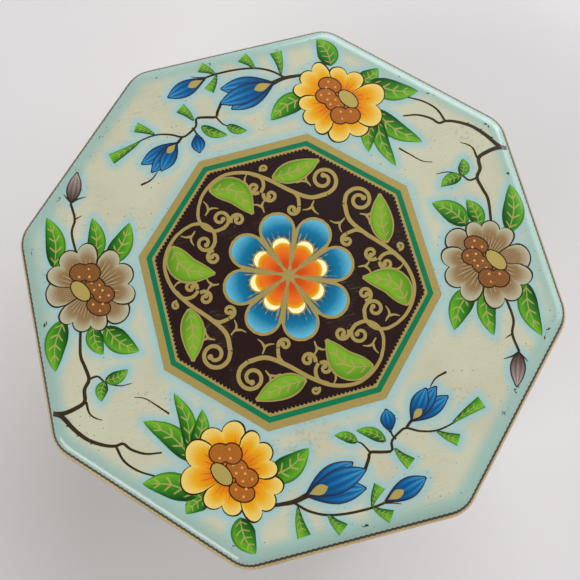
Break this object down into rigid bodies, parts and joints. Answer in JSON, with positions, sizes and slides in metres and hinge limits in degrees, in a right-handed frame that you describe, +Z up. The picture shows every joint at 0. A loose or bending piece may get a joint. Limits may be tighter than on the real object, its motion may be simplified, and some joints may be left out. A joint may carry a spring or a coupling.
{
  "type": "talcum powder tin",
  "caption": "Broad octagonal tinplate powder tin with a rounded slip lid, a card collar, a perforated sifter, talc and a satin-backed powder puff.",
  "frame": {"origin": "on the surface that the tin stands on, on the tin's vertical axis", "axes": "+Z up through the crown of the lid; +X and +Y square to two neighbouring pairs of the eight sides; the body's lock seam is on the +Y side"},
  "size_m": [0.1426, 0.1426, 0.065],
  "materials": {
    "printed_tinplate": "satin",
    "bare_tinplate": "satin",
    "gold_lacquered_tinplate": "satin",
    "pulp_board": "matte",
    "talc": "matte",
    "plush": "matte",
    "cotton_wadding": "matte",
    "satin": "satin",
    "satin_cord": "satin",
    "ribbon": "satin"
  },
  "bodies": {
    "tin": {"body_wall": "printed_tinplate", "base_plate": "bare_tinplate", "card_collar": "pulp_board", "talcum_powder": "talc"},
    "sifter": {"sifter_plate": "gold_lacquered_tinplate"},
    "puff": {"puff_pile": "plush", "puff_stuffing": "cotton_wadding", "puff_back": "satin", "puff_piping": "satin_cord", "puff_ribbon": "ribbon"},
    "lid": {"lid_shell": "printed_tinplate"}
  },
  "joints": [
    {"name": "sifter_lift", "type": "slide", "parent": "tin", "child": "sifter", "axis": [0, 0, 1], "range_m": [0, 0.045]},
    {"name": "puff_lift", "type": "slide", "parent": "sifter", "child": "puff", "axis": [0, 0, 1], "range_m": [0, 0.055]},
    {"name": "lid_lift", "type": "slide", "parent": "puff", "child": "lid", "axis": [0, 0, 1], "range_m": [0, 0.06]}
  ]
}
